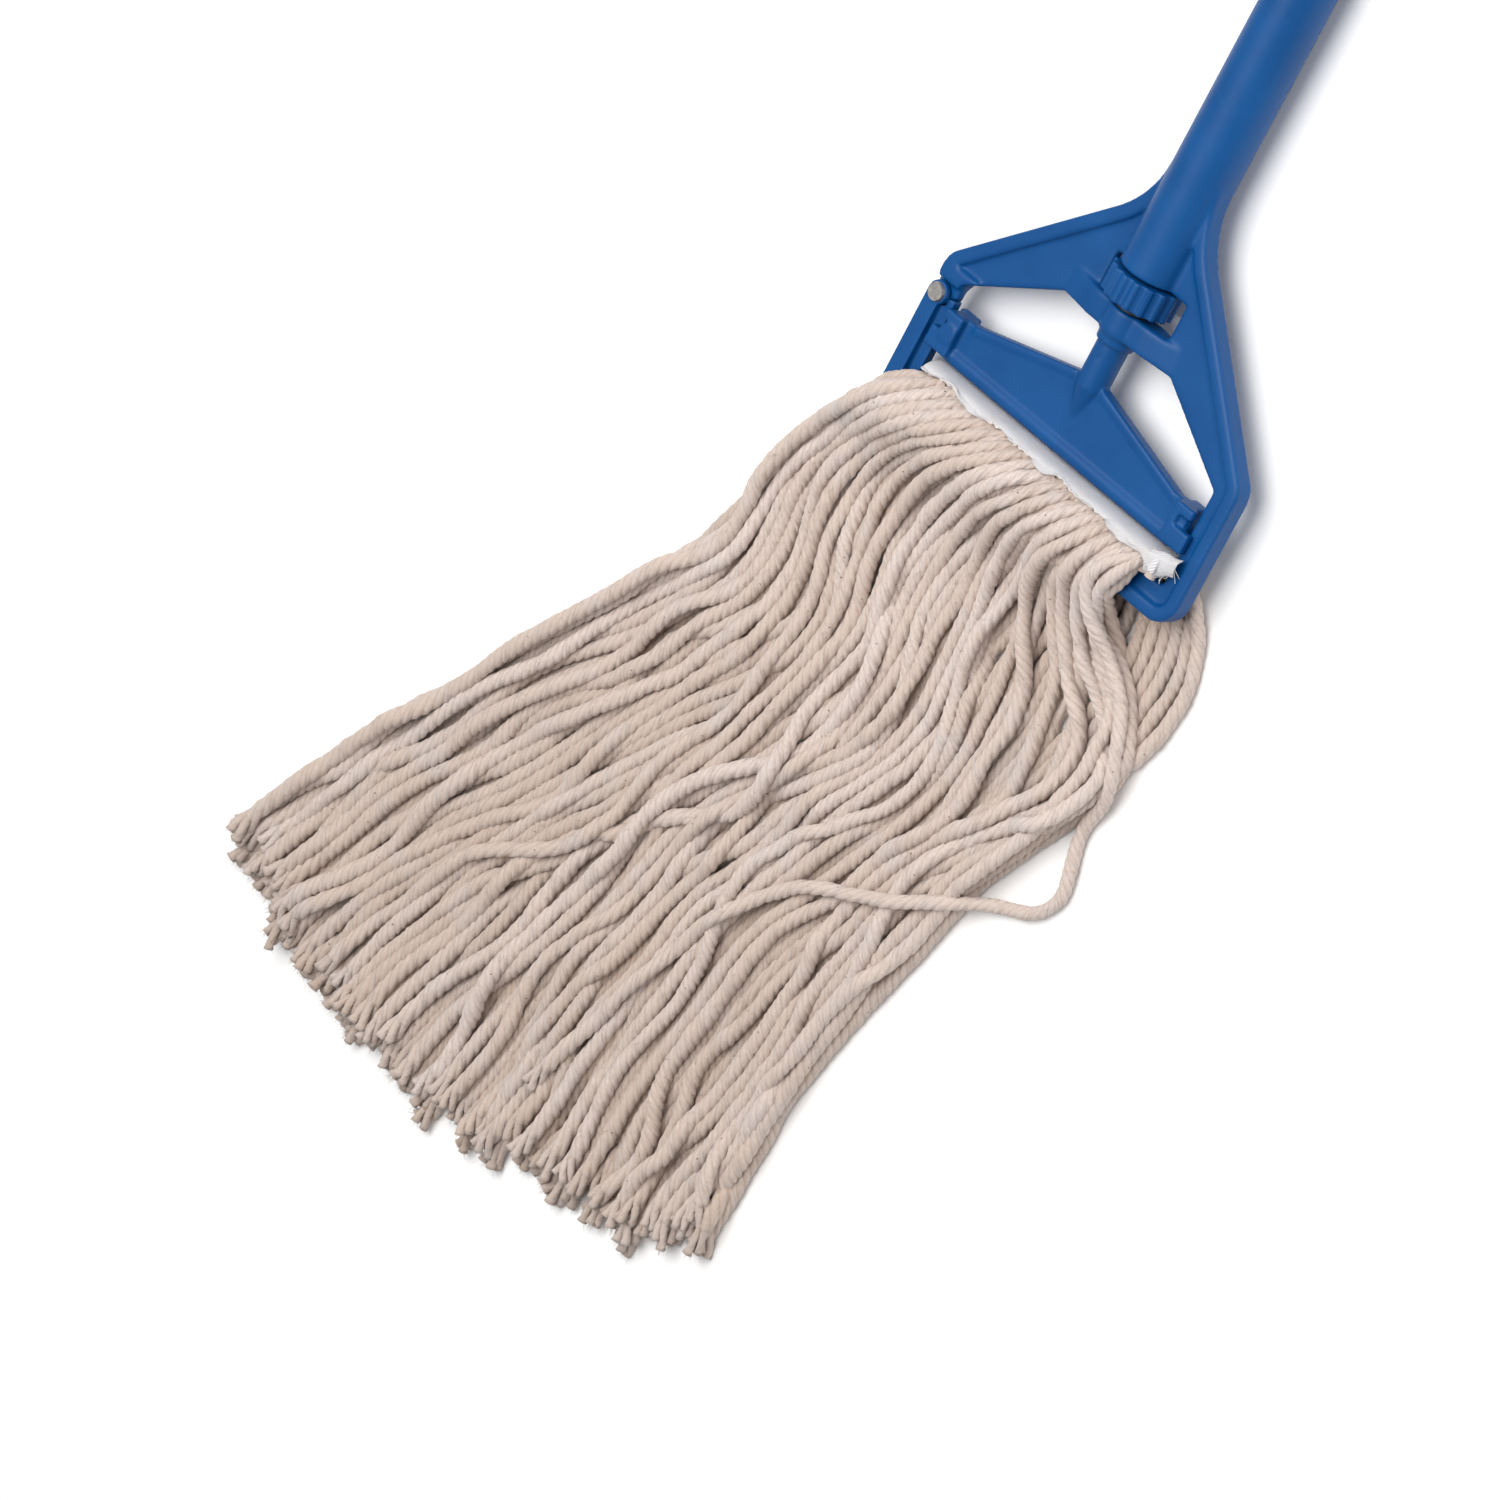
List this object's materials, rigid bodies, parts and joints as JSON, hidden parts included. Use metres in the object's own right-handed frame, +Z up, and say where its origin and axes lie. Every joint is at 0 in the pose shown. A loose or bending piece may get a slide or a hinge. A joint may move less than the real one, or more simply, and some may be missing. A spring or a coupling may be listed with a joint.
{
  "type": "string mop",
  "caption": "Cotton cut-end wet string mop on a blue side-gate clamp head with a thumbwheel and a long tube handle, lying flat.",
  "frame": {"origin": "middle of the whole mop's box, on the floor that it lies on", "axes": "+Y along the handle from the yarn to the hanging cap, +Z up, +X towards the fixed hook side of the head"},
  "size_m": [0.4052, 1.9334, 0.038],
  "materials": {
    "blue_plastic": "satin moulded plastic",
    "handle_blue": "blue powder-coated tube",
    "grey_steel": "dull plated steel",
    "brass": "machined",
    "white_tape": "woven tape",
    "cotton_yarn": "natural cotton, plied"
  },
  "bodies": {
    "frame": {"handle_tube": "handle_blue", "hanging_cap": "blue_plastic", "socket_rivets": "grey_steel", "yoke_frame": "blue_plastic", "hinge_pin": "grey_steel", "hinge_washer": "grey_steel", "thrust_washers": "grey_steel", "headband": "white_tape", "yarn_fold": "cotton_yarn", "front_yarn_1": "cotton_yarn", "front_yarn_2": "cotton_yarn", "front_yarn_3": "cotton_yarn", "front_yarn_4": "cotton_yarn", "front_yarn_5": "cotton_yarn", "back_yarn_1": "cotton_yarn", "back_yarn_2": "cotton_yarn", "back_yarn_3": "cotton_yarn", "loose_yarn": "cotton_yarn"},
    "clamp": {"clamp_plate": "blue_plastic", "drive_screw": "grey_steel", "screw_pin": "grey_steel"},
    "wheel": {"thumbwheel": "blue_plastic", "wheel_nut": "brass"},
    "gate": {"side_gate": "blue_plastic"}
  },
  "joints": [
    {"name": "wheel_spin", "type": "hinge", "parent": "frame", "child": "wheel", "pos_m": [0.09515, -0.45014, 0.018], "axis": [0, 1, 0], "range_deg": [0, 900]},
    {"name": "clamp_slide", "type": "slide", "parent": "frame", "child": "clamp", "axis": [0, 1, 0], "range_m": [0, 0.01]},
    {"name": "gate_swing", "type": "hinge", "parent": "frame", "child": "gate", "pos_m": [0.0099, -0.50579, 0.018], "axis": [0, 0, -1], "range_deg": [0, 90]}
  ],
  "couplings": [
    {"joint": "wheel_spin", "follows": "clamp_slide", "rad_per_m": 1570.8}
  ]
}
